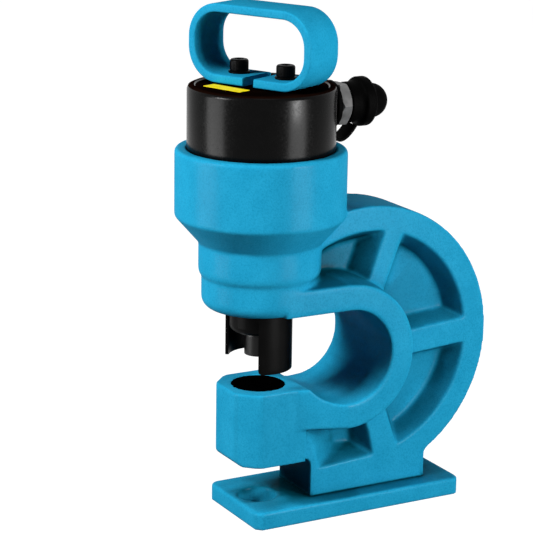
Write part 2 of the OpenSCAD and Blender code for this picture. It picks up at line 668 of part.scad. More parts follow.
module inlet_adapter() color(black) at_inlet(0) difference() {
    rotate_extrude() polygon([[0, spot_x - thread_l], [port_r - 1, spot_x - thread_l],
        [port_r - fit, spot_x - thread_l + 1],
        [port_r - fit, adapter_x], [adapter_r - 0.8, adapter_x], [adapter_r, adapter_x + 0.8],
        [adapter_r, hex_x - 1.5], [adapter_r - 1.5, hex_x], [0, hex_x]]);
    translate([0, 0, spot_x - thread_l - 1]) cylinder(r = oil_r, h = overrun);
}

module coupler_body() color(steel) at_inlet(hex_x) difference() {
    union() {
        intersection() {
            rotate([0, 0, 90]) cylinder(r = hex_af / sqrt(3), h = hex_l, $fn = 6);
            rotate_extrude() polygon([[0, 0], [hex_af / 2, 0], [hex_af / sqrt(3), 1.2],
                [hex_af / sqrt(3), hex_l - 1.2], [hex_af / 2, hex_l], [0, hex_l]]);
        }
        translate([0, 0, hex_l - eps]) rotate_extrude() polygon([[0, 0], [nipple_r - 1, 0],
            [nipple_r - 1, 4], [nipple_r, 5], [nipple_r, nipple_l - 6], [nipple_r - 2, nipple_l - 6],
            [nipple_r - 2, nipple_l - 3.4], [nipple_r, nipple_l - 3.4], [nipple_r, nipple_l - 1],
            [nipple_r - 1, nipple_l], [0, nipple_l]]);
    }
    translate([0, 0, -1]) cylinder(r = oil_r, h = overrun);
    translate([0, 0, hex_l]) cylinder(r = neck_r, h = nipple_l - 4);
    translate([0, 0, hex_l + nipple_l - 4 - eps]) cylinder(r1 = neck_r, r2 = neck_r - 2, h = 2);
    translate([0, 0, hex_l + nipple_l - 3]) cylinder(r = neck_r - 2, h = 4);
}

module nipple_seal() color("dimgray") at_inlet(nipple_end - 6 + fit)
    tube(nipple_r - 0.3, nipple_r - 2 + fit, 2.6 - 2 * fit);

module coupler_poppet() color(steel) at_inlet(nipple_end) rotate_extrude() polygon([
    [0, -15], [2, -15], [2, -7.5], [5.6, -7], [5.6, -4.6], [3.9, -2.8], [3.9, -0.6], [3.4, 0], [0, 0]]);

poppet_wire = 1;
poppet_turns = 5;
module poppet_spring() color(steel) at_inlet(nipple_x + 0.2)
    coil(poppet_turns, 4.2, nipple_l - 7.5 - 0.5, poppet_wire);

cap_x = nipple_x + 0.6;
cap_bore = nipple_l + 0.4;
skirt_l = 8.5;                       // the cap's plain skirt, before its grip
dome_r = cap_r - 5.2;
module dust_cap() color(black) at_inlet(cap_x) difference() {
    rotate_extrude() polygon(concat(
        [[0, 0], [adapter_r - 0.5, 0], [adapter_r + 0.5, 1], [adapter_r + 0.5, skirt_l],
            [cap_r - 1.5, skirt_l + 1.5], [cap_r, skirt_l + 3.5], [cap_r, skirt_l + 8],
            [cap_r - 1.5, skirt_l + 10], [cap_r - 4, skirt_l + 11], [dome_r, skirt_l + 12]],
        [for (i = [0 : 8]) let (t = i * 11.25) [dome_r * cos(t), nipple_l + dome_r * sin(t)]]));
    translate([0, 0, -1]) cylinder(r = nipple_r + 0.3, h = cap_bore + 1);
}

// Strap: a band bent as one smooth curve from the cap's skirt down to the ring on the adapter
strap_ring_r = adapter_r + 0.2;
strap_gap = 0.6;                     // room between the strap and the collar's rim
strap_low = 2 * strap_t + strap_gap;
strap_pull = [[cap_x + 6.9, gallery_z - adapter_r - 1.5], [cap_x - 0.6, collar_top_z],
    [adapter_x + 3.5, collar_top_z - strap_low + 1.4], [adapter_x + 3.4, gallery_z - strap_ring_r]];

// Point and unit normal of the strap's middle line, with t from 0 at the cap to 1 at the ring
function strap_at(t) = strap_pull[0] * pow(1 - t, 3) + strap_pull[1] * 3 * t * pow(1 - t, 2)
    + strap_pull[2] * 3 * t * t * (1 - t) + strap_pull[3] * pow(t, 3);
function strap_normal(t) = let (d = strap_at(t + 0.01) - strap_at(t - 0.01)) [-d[1], d[0]] / norm(d);

module cap_strap() color(black) {
    translate([0, strap_w / 2, 0]) rotate([90, 0, 0]) linear_extrude(strap_w) polygon(concat(
        [for (i = [0 : 20]) strap_at(i / 20) + strap_normal(i / 20) * strap_t / 2],
        [for (i = [20 : -1 : 0]) strap_at(i / 20) - strap_normal(i / 20) * strap_t / 2]));
    at_inlet(adapter_x + 1.2) tube(strap_ring_r + strap_t, strap_ring_r, shoulder_l - 1.8);
}

base_plate();
base_screws();
frame();
die();
die_set_screw();
cylinder_body();
cylinder_lock_screw();
piston();
piston_seal();
piston_guide_ring();
ram_rod();
ram_bolt();
punch();
punch_set_screw();
guide_bush();
rod_wiper();
return_spring();
stripper();
stripper_screw();
handle();
handle_washers();
handle_bolts();
port_seal();
inlet_adapter();
coupler_body();
coupler_poppet();
poppet_spring();
nipple_seal();
dust_cap();
cap_strap();
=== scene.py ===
import math

import bmesh
import bpy
import numpy as np
from mathutils import Matrix, Vector
from mathutils.bvhtree import BVHTree


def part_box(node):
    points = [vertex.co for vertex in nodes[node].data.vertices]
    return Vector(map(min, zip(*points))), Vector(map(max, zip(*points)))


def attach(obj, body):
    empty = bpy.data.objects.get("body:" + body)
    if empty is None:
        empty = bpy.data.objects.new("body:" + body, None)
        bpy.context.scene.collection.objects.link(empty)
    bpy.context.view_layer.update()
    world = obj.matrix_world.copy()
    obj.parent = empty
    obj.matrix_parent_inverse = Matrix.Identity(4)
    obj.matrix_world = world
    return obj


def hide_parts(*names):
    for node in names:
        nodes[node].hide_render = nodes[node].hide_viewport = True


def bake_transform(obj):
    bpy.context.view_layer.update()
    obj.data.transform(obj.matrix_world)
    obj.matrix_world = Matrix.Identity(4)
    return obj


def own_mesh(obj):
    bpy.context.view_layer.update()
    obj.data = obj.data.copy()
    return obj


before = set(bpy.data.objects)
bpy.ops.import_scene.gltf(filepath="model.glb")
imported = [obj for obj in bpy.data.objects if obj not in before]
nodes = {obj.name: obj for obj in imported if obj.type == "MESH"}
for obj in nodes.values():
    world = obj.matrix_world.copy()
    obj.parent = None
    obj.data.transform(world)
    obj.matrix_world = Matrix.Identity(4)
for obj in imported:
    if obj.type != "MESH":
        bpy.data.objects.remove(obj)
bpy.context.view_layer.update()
print("frame loaded with", len(nodes), "nodes")

mm = 0.001
merge = {"cad": 0.02, "strip": 0.005, "drawn": 0.002}  # points nearer than this, in millimetres, are joined


# Measures that several pieces share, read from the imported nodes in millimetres

def span(node):
    low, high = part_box(node)
    return Vector(low) / mm, Vector(high) / mm


cylLow, cylHigh = span("cylinder_body")
dieLow, dieHigh = span("die")
washerLow, washerHigh = span("handle_washers")
capLow, capHigh = span("dust_cap")
stripperLow, stripperHigh = span("stripper")
frameLow, frameHigh = span("frame")
handleFoot = span("handle")[0].z
adapterEnd = span("inlet_adapter")[1].x
inletZ = (capLow.z + capHigh.z) / 2


# Small helpers

def addObject(name, mesh):
    obj = bpy.data.objects.new(name, mesh)
    bpy.context.scene.collection.objects.link(obj)
    return obj


def bakeObject(obj):
    # turns live modifiers into a plain mesh
    graph = bpy.context.evaluated_depsgraph_get()
    mesh = bpy.data.meshes.new_from_object(obj.evaluated_get(graph))
    obj.modifiers.clear()
    old = obj.data
    obj.data = mesh
    bpy.data.meshes.remove(old)
    mesh.name = obj.name
    return obj


def mergePoints(mesh, distance, faceOut=False):
    # makes one point of those that lie together, and turns the faces outward where asked
    work = bmesh.new()
    work.from_mesh(mesh)
    bmesh.ops.remove_doubles(work, verts=work.verts, dist=distance * mm)
    if faceOut:
        bmesh.ops.recalc_face_normals(work, faces=work.faces)
    work.to_mesh(mesh)
    work.free()


def mergedCopy(name, node):
    # CAD meshes are loose triangles, so a copy is merged before it is worked on
    obj = addObject(name, nodes[node].data.copy())
    mergePoints(obj.data, merge["cad"])
    obj.data.materials.clear()
    return obj


def dress(obj, material):
    obj.data.materials.clear()
    obj.data.materials.append(material)


def standIn(obj, node, body, material):
    # takes the place of a CAD node, rides on its body and wears its finish
    dress(obj, material)
    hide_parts(node)
    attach(obj, body)


def meshFrom(name, points, faces, smooth=True):
    # points in millimetres
    mesh = bpy.data.meshes.new(name)
    mesh.from_pydata([(x * mm, y * mm, z * mm) for x, y, z in points], [], faces)
    mergePoints(mesh, merge["drawn"], faceOut=True)
    if smooth:
        mesh.shade_smooth()
    return mesh


def ringFaces(row, sides):
    # quads between one ring of points and the next
    faces = []
    for k in range(sides):
        n = (k + 1) % sides
        faces.append((row * sides + k, row * sides + n, (row + 1) * sides + n, (row + 1) * sides + k))
    return faces


def turned(profile, sides, ripple=None):
    # surface of revolution about Z; profile is a list of (radius, height)
    # ripple gives a radius change for a profile index and a column
    points = []
    for i, (radius, height) in enumerate(profile):
        for k in range(sides):
            angle = 2 * math.pi * k / sides
            reach = radius + (ripple(i, k) if ripple else 0)
            points.append((reach * math.cos(angle), reach * math.sin(angle), height))
    faces = []
    for i in range(len(profile) - 1):
        faces += ringFaces(i, sides)
    return points, faces


def ringProfile(inner, outer, height, innerEdge, outerEdge):
    # closed section of a plain ring with small chamfers
    return [(inner, innerEdge), (inner + innerEdge, 0), (outer - outerEdge, 0), (outer, outerEdge),
            (outer, height - outerEdge), (outer - outerEdge, height), (inner + innerEdge, height),
            (inner, height - innerEdge), (inner, innerEdge)]


def arc(cx, cy, r, start, end, steps):
    # points of a circular arc, angles in degrees
    return [(cx + r * math.cos(math.radians(start + (end - start) * i / steps)),
             cy + r * math.sin(math.radians(start + (end - start) * i / steps))) for i in range(steps + 1)]


# Material helpers

white = (1, 1, 1, 1)
noiseMiddle = (0.3, 0.7)  # where most values of a noise lie


def grey(value):
    return (value, value, value, 1)


def shaderGraph(name):
    material = bpy.data.materials.new(name)
    material.use_nodes = True
    tree = material.node_tree
    shader = tree.nodes["Principled BSDF"]
    coords = tree.nodes.new("ShaderNodeTexCoord")
    return material, tree, shader, coords


def noiseInto(tree, coords, size, detail, roughness=0.5, stretch=(1, 1, 1)):
    # size is the width of one blotch in millimetres
    mapping = tree.nodes.new("ShaderNodeMapping")
    mapping.inputs["Scale"].default_value = stretch
    noise = tree.nodes.new("ShaderNodeTexNoise")
    noise.inputs["Scale"].default_value = 1.0 / (size * mm)
    noise.inputs["Detail"].default_value = detail
    noise.inputs["Roughness"].default_value = roughness
    tree.links.new(coords.outputs["Object"], mapping.inputs["Vector"])
    tree.links.new(mapping.outputs["Vector"], noise.inputs["Vector"])
    return noise


def rampFrom(tree, source, low, high, lowPos=0.35, highPos=0.65):
    ramp = tree.nodes.new("ShaderNodeValToRGB")
    ramp.color_ramp.elements[0].position = lowPos
    ramp.color_ramp.elements[0].color = low
    ramp.color_ramp.elements[1].position = highPos
    ramp.color_ramp.elements[1].color = high
    tree.links.new(source, ramp.inputs["Fac"])
    return ramp


def rangeFrom(tree, source, low, high):
    spread = tree.nodes.new("ShaderNodeMapRange")
    spread.inputs["From Min"].default_value = noiseMiddle[0]
    spread.inputs["From Max"].default_value = noiseMiddle[1]
    spread.inputs["To Min"].default_value = low
    spread.inputs["To Max"].default_value = high
    tree.links.new(source, spread.inputs["Value"])
    return spread


def multiply(tree, a, b):
    mix = tree.nodes.new("ShaderNodeMix")
    mix.data_type = "RGBA"
    mix.blend_type = "MULTIPLY"
    mix.inputs["Factor"].default_value = 1.0
    tree.links.new(a, mix.inputs["A"])
    tree.links.new(b, mix.inputs["B"])
    return mix.outputs["Result"]


def addBump(tree, shader, layers):
    # layers are (noise output, depth in millimetres)
    last = None
    for source, depth in layers:
        bump = tree.nodes.new("ShaderNodeBump")
        bump.inputs["Strength"].default_value = 1.0
        bump.inputs["Distance"].default_value = depth * mm
        tree.links.new(source, bump.inputs["Height"])
        if last:
            tree.links.new(last.outputs["Normal"], bump.inputs["Normal"])
        last = bump
    tree.links.new(last.outputs["Normal"], shader.inputs["Normal"])


# Blue enamel over sand-cast iron: slow clouds of tone, fine grain, orange peel, and painted shade that
# darkens the recesses

paint = {
    "deep": (0.012, 0.300, 0.515, 1), "light": (0.018, 0.345, 0.580, 1), "cloudRange": (0.25, 0.75),
    "cloudSize": 16, "cloudDetail": 3,
    "grainDark": (0.58, 0.82, 0.85, 1), "grainRange": (0.30, 0.55), "grainSize": 1.3, "grainDetail": 3,
    "grainRoughness": 0.65, "grainDepth": 0.16,
    "peelSize": 1.6, "peelDetail": 1, "peelDepth": 0.07,
    # the recess tone and range paint shade into the castings' recesses: the more closed in a point is, the
    # darker its base colour
    "recessShadeTone": (0.02, 0.15, 0.135, 1), "recessShadeRange": (0.18, 0.66),
    "roughness": 0.38, "glossier": 0.05, "duller": 0.06, "specular": 0.0,
    "coat": 0.045, "coatRoughness": 0.26}


def makePaint(name, grain, peel, coat):
    material, tree, shader, coords = shaderGraph(name)
    cloud = noiseInto(tree, coords, paint["cloudSize"], paint["cloudDetail"])
    fine = noiseInto(tree, coords, paint["grainSize"], paint["grainDetail"], paint["grainRoughness"])
    skin = noiseInto(tree, coords, paint["peelSize"], paint["peelDetail"])
    tone = rampFrom(tree, cloud.outputs["Fac"], paint["deep"], paint["light"], *paint["cloudRange"])
    speck = rampFrom(tree, fine.outputs["Fac"], paint["grainDark"], white, *paint["grainRange"])
    # painted shade: the base colour darkens where a point is closed in
    closed = tree.nodes.new("ShaderNodeAttribute")
    closed.attribute_name = "recess"
    paintedRecessShade = rampFrom(tree, closed.outputs["Fac"], white, paint["recessShadeTone"], *paint["recessShadeRange"])
    flecked = multiply(tree, tone.outputs["Color"], speck.outputs["Color"])
    tree.links.new(multiply(tree, flecked, paintedRecessShade.outputs["Color"]), shader.inputs["Base Color"])
    rough = rangeFrom(tree, cloud.outputs["Fac"], paint["roughness"] - paint["glossier"],
                      paint["roughness"] + paint["duller"])
    tree.links.new(rough.outputs["Result"], shader.inputs["Roughness"])
    shader.inputs["Specular IOR Level"].default_value = paint["specular"]
    shader.inputs["Coat Weight"].default_value = paint["coat"] * coat
    shader.inputs["Coat Roughness"].default_value = paint["coatRoughness"]
    addBump(tree, shader, [(fine.outputs["Fac"], paint["grainDepth"] * grain),
                           (skin.outputs["Fac"], paint["peelDepth"] * peel)])
    return material


castPaint = makePaint("castPaint", grain=1.0, peel=1.0, coat=1.0)
platePaint = makePaint("platePaint", grain=0.6, peel=0.7, coat=0.8)
barPaint = makePaint("barPaint", grain=0.3, peel=0.4, coat=0.2)


# Finishes of all other pieces; what one doesn't name is as in plainFinish

plainFinish = {
    "metallic": 0.0, "specular": 0.5, "roughness": 0.5, "glossier": 0.05, "duller": 0.07,
    "cloudSize": 9, "cloudDetail": 3,
    "grainSize": 0.6, "grainDepth": 0.006, "grainDetail": 2, "grainRoughness": 0.6, "stretch": (1, 1, 1)}
finishes = {
    "glossBlack": {"dark": grey(0.0008), "light": grey(0.0014), "roughness": 0.22, "specular": 0.06,
                   "grainSize": 1.5, "grainDepth": 0.001},
    # dull black for the faces that look up; its brown tint is a painted reflection
    "dullBlack": {"dark": (0.0060, 0.0020, 0.0012, 1), "light": (0.0080, 0.0028, 0.0016, 1),
                  "roughness": 0.45, "specular": 0.0, "grainSize": 1.5, "grainDepth": 0.002},
    "neckBlack": {"dark": grey(0.0008), "light": grey(0.0014), "roughness": 0.16, "grainSize": 1.5,
                  "grainDepth": 0.001},
    "oilBlack": {"dark": grey(0.0008), "light": grey(0.0016), "roughness": 0.35, "specular": 0.03},
    "dieBlack": {"dark": grey(0.0002), "light": grey(0.0004), "roughness": 0.60, "specular": 0.0},
    "toolBlack": {"dark": grey(0.0008), "light": grey(0.0014), "roughness": 0.32, "specular": 0.16,
                  "grainDepth": 0.004},
    "groundSteel": {"dark": (0.42, 0.42, 0.43, 1), "light": (0.50, 0.50, 0.51, 1), "metallic": 1.0,
                    "roughness": 0.25, "grainSize": 0.3, "grainDepth": 0.004, "stretch": (1, 1, 8)},
    "phosphate": {"dark": grey(0.070), "light": grey(0.13), "metallic": 0.3, "specular": 0.2,
                  "grainSize": 0.9, "grainDepth": 0.10},
    "springSteel": {"dark": (0.16, 0.16, 0.17, 1), "light": (0.24, 0.24, 0.25, 1), "metallic": 1.0,
                    "roughness": 0.35},
    "bronze": {"dark": (0.42, 0.27, 0.10, 1), "light": (0.50, 0.33, 0.14, 1), "metallic": 1.0,
               "roughness": 0.35, "grainSize": 0.4, "stretch": (1, 1, 6)},
    "rubber": {"dark": grey(0.0004), "light": grey(0.0008), "roughness": 0.60, "specular": 0.01,
               "grainSize": 0.8, "grainDepth": 0.02},
    "sealRubber": {"dark": grey(0.010), "light": grey(0.016), "specular": 0.3, "grainSize": 0.8,
                   "grainDepth": 0.01},
    "guidePlastic": {"dark": (0.33, 0.26, 0.17, 1), "light": (0.40, 0.32, 0.21, 1), "specular": 0.4,
                     "grainSize": 0.5, "grainDepth": 0.02},
    "yellowFilm": {"dark": (0.95, 0.74, 0.002, 1), "light": (0.98, 0.80, 0.004, 1), "roughness": 0.45,
                   "specular": 0.05, "grainSize": 2.0, "grainDepth": 0.004}}


def makeFinish(name):
    finish = {**plainFinish, **finishes[name]}
    material, tree, shader, coords = shaderGraph(name)
    cloud = noiseInto(tree, coords, finish["cloudSize"], finish["cloudDetail"])
    grain = noiseInto(tree, coords, finish["grainSize"], finish["grainDetail"], finish["grainRoughness"],
                      finish["stretch"])
    tone = rampFrom(tree, cloud.outputs["Fac"], finish["dark"], finish["light"])
    tree.links.new(tone.outputs["Color"], shader.inputs["Base Color"])
    shader.inputs["Metallic"].default_value = finish["metallic"]
    shader.inputs["Specular IOR Level"].default_value = finish["specular"]
    rough = rangeFrom(tree, grain.outputs["Fac"], finish["roughness"] - finish["glossier"],
                      finish["roughness"] + finish["duller"])
    tree.links.new(rough.outputs["Result"], shader.inputs["Roughness"])
    addBump(tree, shader, [(grain.outputs["Fac"], finish["grainDepth"])])
    return material


look = {name: makeFinish(name) for name in finishes}
print("materials ready")


# Nodes that keep their own shape and only take a finish

kept = {
    "base_screws": "oilBlack", "die": "dieBlack", "die_set_screw": "oilBlack",
    "cylinder_lock_screw": "oilBlack", "stripper_screw": "oilBlack",
    "ram_rod": "oilBlack", "ram_bolt": "oilBlack", "punch": "toolBlack", "punch_set_screw": "oilBlack",
    "piston": "groundSteel", "piston_seal": "sealRubber", "piston_guide_ring": "guidePlastic",
    "guide_bush": "bronze", "rod_wiper": "sealRubber", "return_spring": "springSteel",
    "port_seal": "groundSteel", "inlet_adapter": "neckBlack", "coupler_body": "phosphate",
    "coupler_poppet": "phosphate", "poppet_spring": "springSteel", "nipple_seal": "sealRubber"}
for nodeName, lookName in kept.items():
    dress(nodes[nodeName], look[lookName])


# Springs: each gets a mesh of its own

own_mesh(nodes["return_spring"])
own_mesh(nodes["poppet_spring"])


# Castings: a voxel skin over the machined solid, softened where the sand mould rounds it

casting = {"voxel": 1.0, "softSteps": 9, "plainSteps": 2, "triangles": 190000}
plate = {"voxel": 0.9, "softSteps": 10, "plainSteps": 2, "triangles": 40000}
soften = {"factor": 0.5, "levels": 10}
# machined seats keep their edges: a pair is the distance at which rounding begins and is full, around and
# fade say the same from a bore's own radius, and the others are heights from a seat's end or edge
seat = {"around": 1.0, "fade": 2.5, "pedestal": (1.0, 3.5), "plateFoot": (0.5, 3.0), "below": 3, "above": 3,
        "rim": 1.2, "dieDepth": 30, "stripperDepth": 12}


def softness(points, rules):
    # 1 where the casting is free to round, 0 at machined seats
    weight = np.ones(len(points))
    for rule in rules:
        weight = np.minimum(weight, rule(points))
    return weight


def ramped(distance, near, far):
    return np.clip((distance - near) / (far - near), 0, 1)


def nearAxis(radius, low, high):
    # seats round the punch axis between two heights
    def rule(points):
        away = np.hypot(points[:, 0], points[:, 1])
        inside = (points[:, 2] > low) & (points[:, 2] < high)
        return np.where(inside, ramped(away, radius, radius + seat["fade"]), 1.0)
    return rule


def nearLevel(height, near, far):
    return lambda points: ramped(np.abs(points[:, 2] - height), near, far)


def weighPoints(obj, rules):
    # a vertex group that says in a few levels how much each point may round
    points = np.empty(len(obj.data.vertices) * 3)
    obj.data.vertices.foreach_get("co", points)
    weight = softness(points.reshape(-1, 3) / mm, rules)
    group = obj.vertex_groups.new(name="soft")
    levels = soften["levels"]
    for level in range(1, levels + 1):
        picked = np.nonzero((weight > (level - 1) / levels) & (weight <= level / levels))[0]
        group.add(picked.tolist(), level / levels, "REPLACE")
    return group.name


def addSmooth(obj, name, steps, groupName=""):
    modifier = obj.modifiers.new(name, "SMOOTH")
    modifier.factor = soften["factor"]
    modifier.iterations = steps
    modifier.vertex_group = groupName


def castSkin(name, node, settings, rules):
    obj = mergedCopy(name, node)
    remesh = obj.modifiers.new("skin", "REMESH")
    remesh.mode = "VOXEL"
    remesh.voxel_size = settings["voxel"] * mm
    bakeObject(obj)
    addSmooth(obj, "soften", settings["softSteps"], weighPoints(obj, rules))
    addSmooth(obj, "ease", settings["plainSteps"])
    thin = obj.modifiers.new("thin", "DECIMATE")
    # the skin's faces have four corners, so each of them is two triangles
    thin.ratio = min(1.0, settings["triangles"] / (2 * len(obj.data.polygons)))
    bakeObject(obj)
    obj.vertex_groups.clear()
    obj.data.shade_smooth()
    print(name, "has", len(obj.data.polygons), "faces")
    return obj


def makeCastFrame():
    boreR = (cylHigh.x - cylLow.x) / 2
    dieR = (dieHigh.x - dieLow.x) / 2
    around = seat["around"]
    rules = [nearLevel(frameLow.z, *seat["pedestal"]),
             nearAxis(boreR + around, cylLow.z - seat["below"], frameHigh.z - seat["rim"]),
             nearAxis(dieR + around, dieHigh.z - seat["dieDepth"], dieHigh.z + seat["above"]),
             nearAxis(stripperHigh.x + around, stripperHigh.z - seat["stripperDepth"],
                      stripperHigh.z + seat["above"])]
    obj = castSkin("castFrame", "frame", casting, rules)
    standIn(obj, "frame", "press_frame", castPaint)
    return obj


def makeFootPlate():
    obj = castSkin("footPlate", "base_plate", plate, [nearLevel(0, *seat["plateFoot"])])
    standIn(obj, "base_plate", "press_frame", platePaint)
    return obj


# Recesses: each point of the castings learns how closed in it is; the paint reads this to paint shade into
# the recesses

recess = {"rays": 48, "reach": 60, "lift": 0.6, "grazing": 0.1, "softSteps": 6}


def sphereDirections(count):
    # evenly spread directions on a golden spiral
    out = []
    for i in range(count):
        z = 1 - (2 * i + 1) / count
        turn = math.pi * (3 - math.sqrt(5)) * i
        reach = math.sqrt(1 - z * z)
        out.append(Vector((math.cos(turn) * reach, math.sin(turn) * reach, z)))
    return out


def castingTree(pieces):
    points = []
    faces = []
    for obj in pieces:
        first = len(points)
        points += [v.co for v in obj.data.vertices]
        faces += [[first + k for k in face.vertices] for face in obj.data.polygons]
    return BVHTree.FromPolygons(points, faces)


def closedShare(tree, vertex, directions):
    # share of what a point looks at that the castings block within reach
    start = vertex.co + vertex.normal * recess["lift"] * mm
    total = 0.0
    blocked = 0.0
    for direction in directions:
        share = vertex.normal.dot(direction)
        if share > recess["grazing"]:
            total += share
            if tree.ray_cast(start, direction, recess["reach"] * mm)[0]:
                blocked += share
    return blocked / total


def evenedOut(mesh, values):
    # each step moves a point's value halfway to the mean of its neighbours
    edges = np.empty(len(mesh.edges) * 2, dtype=np.int32)
    mesh.edges.foreach_get("vertices", edges)
    ends = edges.reshape(-1, 2)
    count = np.bincount(edges, minlength=len(values))
    for step in range(recess["softSteps"]):
        near = np.bincount(ends[:, 0], values[ends[:, 1]], len(values))
        near += np.bincount(ends[:, 1], values[ends[:, 0]], len(values))
        values = (values + near / np.maximum(count, 1)) / 2
    return values


def markRecesses(pieces):
    tree = castingTree(pieces)
    directions = sphereDirections(recess["rays"])
    for obj in pieces:
        closed = np.array([closedShare(tree, vertex, directions) for vertex in obj.data.vertices])
        # this share drives the painted shade in the paint
        attribute = obj.data.attributes.new("recess", "FLOAT", "POINT")
        attribute.data.foreach_set("value", evenedOut(obj.data, closed))


castFrame = makeCastFrame()
footPlate = makeFootPlate()
markRecesses([castFrame, footPlate])
print("castings ready")


# Cylinder: gloss on the sides; the faces that look up get a dull black without specular, its brown tint a
# painted reflection

shell = {"lookingUp": 0.8, "sharp": 28}


def makeCylinderShell():
    obj = mergedCopy("cylinderShell", "cylinder_body")
    standIn(obj, "cylinder_body", "press_frame", look["glossBlack"])
    obj.data.materials.append(look["dullBlack"])
    for face in obj.data.polygons:
        face.material_index = int(face.normal.z > shell["lookingUp"])
    obj.data.shade_smooth()
    obj.data.set_sharp_from_angle(angle=math.radians(shell["sharp"]))


makeCylinderShell()
print("cylinder ready")


# Geometry Nodes: one tree sweeps a flat strip along a path, one sets a screw or washer on each point

cornerPoints = 4  # on each rounded edge of a strip


def treeWith(name, sockets):
    tree = bpy.data.node_groups.new(name, "GeometryNodeTree")
    tree.is_modifier = True
    tree.interface.new_socket(name="Geometry", in_out="INPUT", socket_type="NodeSocketGeometry")
    for label, kind, value in sockets:
        socket = tree.interface.new_socket(name=label, in_out="INPUT", socket_type=kind)
        if value is not None:
            socket.default_value = value
    tree.interface.new_socket(name="Geometry", in_out="OUTPUT", socket_type="NodeSocketGeometry")
    return tree, tree.nodes.new("NodeGroupInput"), tree.nodes.new("NodeGroupOutput")


def finishTree(tree, source, start, end):
    # real geometry and its material, as the export needs them
    realize = tree.nodes.new("GeometryNodeRealizeInstances")
    wear = tree.nodes.new("GeometryNodeSetMaterial")
    tree.links.new(source, realize.inputs["Geometry"])
    tree.links.new(realize.outputs["Geometry"], wear.inputs["Geometry"])
    tree.links.new(start.outputs["Material"], wear.inputs["Material"])
    tree.links.new(wear.outputs["Geometry"], end.inputs["Geometry"])


def buildStripTree():
    tree, start, end = treeWith("sweepStrip", [
        ("Strip Width", "NodeSocketFloat", 0.033), ("Strip Thickness", "NodeSocketFloat", 0.006),
        ("Edge Radius", "NodeSocketFloat", 0.001), ("Material", "NodeSocketMaterial", None)])
    path = tree.nodes.new("GeometryNodeMeshToCurve")
    upright = tree.nodes.new("GeometryNodeSetCurveNormal")
    upright.mode = "Z_UP"
    outline = tree.nodes.new("GeometryNodeCurvePrimitiveQuadrilateral")
    rounded = tree.nodes.new("GeometryNodeFilletCurve")
    rounded.mode = "POLY"
    rounded.inputs["Count"].default_value = cornerPoints
    sweep = tree.nodes.new("GeometryNodeCurveToMesh")
    sweep.inputs["Fill Caps"].default_value = True
    tree.links.new(start.outputs["Geometry"], path.inputs["Mesh"])
    tree.links.new(path.outputs["Curve"], upright.inputs["Curve"])
    tree.links.new(start.outputs["Strip Thickness"], outline.inputs["Width"])
    tree.links.new(start.outputs["Strip Width"], outline.inputs["Height"])
    tree.links.new(outline.outputs["Curve"], rounded.inputs["Curve"])
    tree.links.new(start.outputs["Edge Radius"], rounded.inputs["Radius"])
    tree.links.new(upright.outputs["Curve"], sweep.inputs["Curve"])
    tree.links.new(rounded.outputs["Curve"], sweep.inputs["Profile Curve"])
    finishTree(tree, sweep.outputs["Mesh"], start, end)
    return tree


def buildRepeatTree():
    tree, start, end = treeWith("setOnPoints", [
        ("Pattern", "NodeSocketObject", None), ("Material", "NodeSocketMaterial", None)])
    info = tree.nodes.new("GeometryNodeObjectInfo")
    place = tree.nodes.new("GeometryNodeInstanceOnPoints")
    tree.links.new(start.outputs["Pattern"], info.inputs["Object"])
    tree.links.new(start.outputs["Geometry"], place.inputs["Points"])
    tree.links.new(info.outputs["Geometry"], place.inputs["Instance"])
    finishTree(tree, place.outputs["Instances"], start, end)
    return tree


stripTree = buildStripTree()
repeatTree = buildRepeatTree()


def growFrom(obj, tree, values):
    # sets the named inputs by their identifiers, then bakes the result
    modifier = obj.modifiers.new(tree.name, "NODES")
    modifier.node_group = tree
    for item in tree.interface.items_tree:
        if item.in_out == "INPUT" and item.name in values:
            modifier[item.identifier] = values[item.name]
    obj.update_tag()
    return bakeObject(obj)


def sweptStrip(name, path, width, thickness, edge, place, material):
    # path lies flat in X and Y in millimetres, place turns it to where it belongs
    mesh = bpy.data.meshes.new(name)
    mesh.from_pydata([(x * mm, y * mm, 0) for x, y in path], [(i, i + 1) for i in range(len(path) - 1)], [])
    obj = growFrom(addObject(name, mesh), stripTree, {
        "Strip Width": width * mm, "Strip Thickness": thickness * mm, "Edge Radius": edge * mm,
        "Material": material})
    obj.data.transform(place)
    mergePoints(obj.data, merge["strip"], faceOut=True)
    obj.data.shade_smooth()
    return obj


def repeated(name, patternMesh, places, material):
    pattern = addObject(name + "Pattern", patternMesh)
    mesh = bpy.data.meshes.new(name)
    mesh.from_pydata([(x * mm, y * mm, z * mm) for x, y, z in places], [], [])
    obj = growFrom(addObject(name, mesh), repeatTree, {"Pattern": pattern, "Material": material})
    bpy.data.objects.remove(pattern)
    return obj


# Handle: a flat strip bent into a loop, its two feet held by socket screws

handle = {"length": 103.0, "height": 54.5, "endRadius": 24.0, "strip": 6.0, "width": 33.0, "footGap": 9.4,
          "boltInset": 31.8, "turn": -65.0, "edge": 1.3, "arcSteps": 16, "flatSteps": 4}


def handlePath():
    # middle line of the strip, from one foot round to the other
    inset = handle["strip"] / 2
    halfL = handle["length"] / 2 - handle["endRadius"]
    r = handle["endRadius"] - inset
    low = handle["endRadius"]
    high = handle["height"] - handle["endRadius"]
    foot = handle["footGap"] / 2
    steps = handle["flatSteps"]
    bend = handle["arcSteps"]
    path = [(foot, inset)]
    path += [(foot + (halfL - foot) * i / steps, inset) for i in range(1, steps)]
    path += arc(halfL, low, r, -90, 0, bend)
    path += arc(halfL, high, r, 0, 90, bend)
    path += [(halfL * (1 - i / steps), handle["height"] - inset) for i in range(1, 2 * steps)]
    path += arc(-halfL, high, r, 90, 180, bend)
    path += arc(-halfL, low, r, 180, 270, bend)
    path += [(-halfL + (halfL - foot) * i / steps, inset) for i in range(1, steps + 1)]
    return path


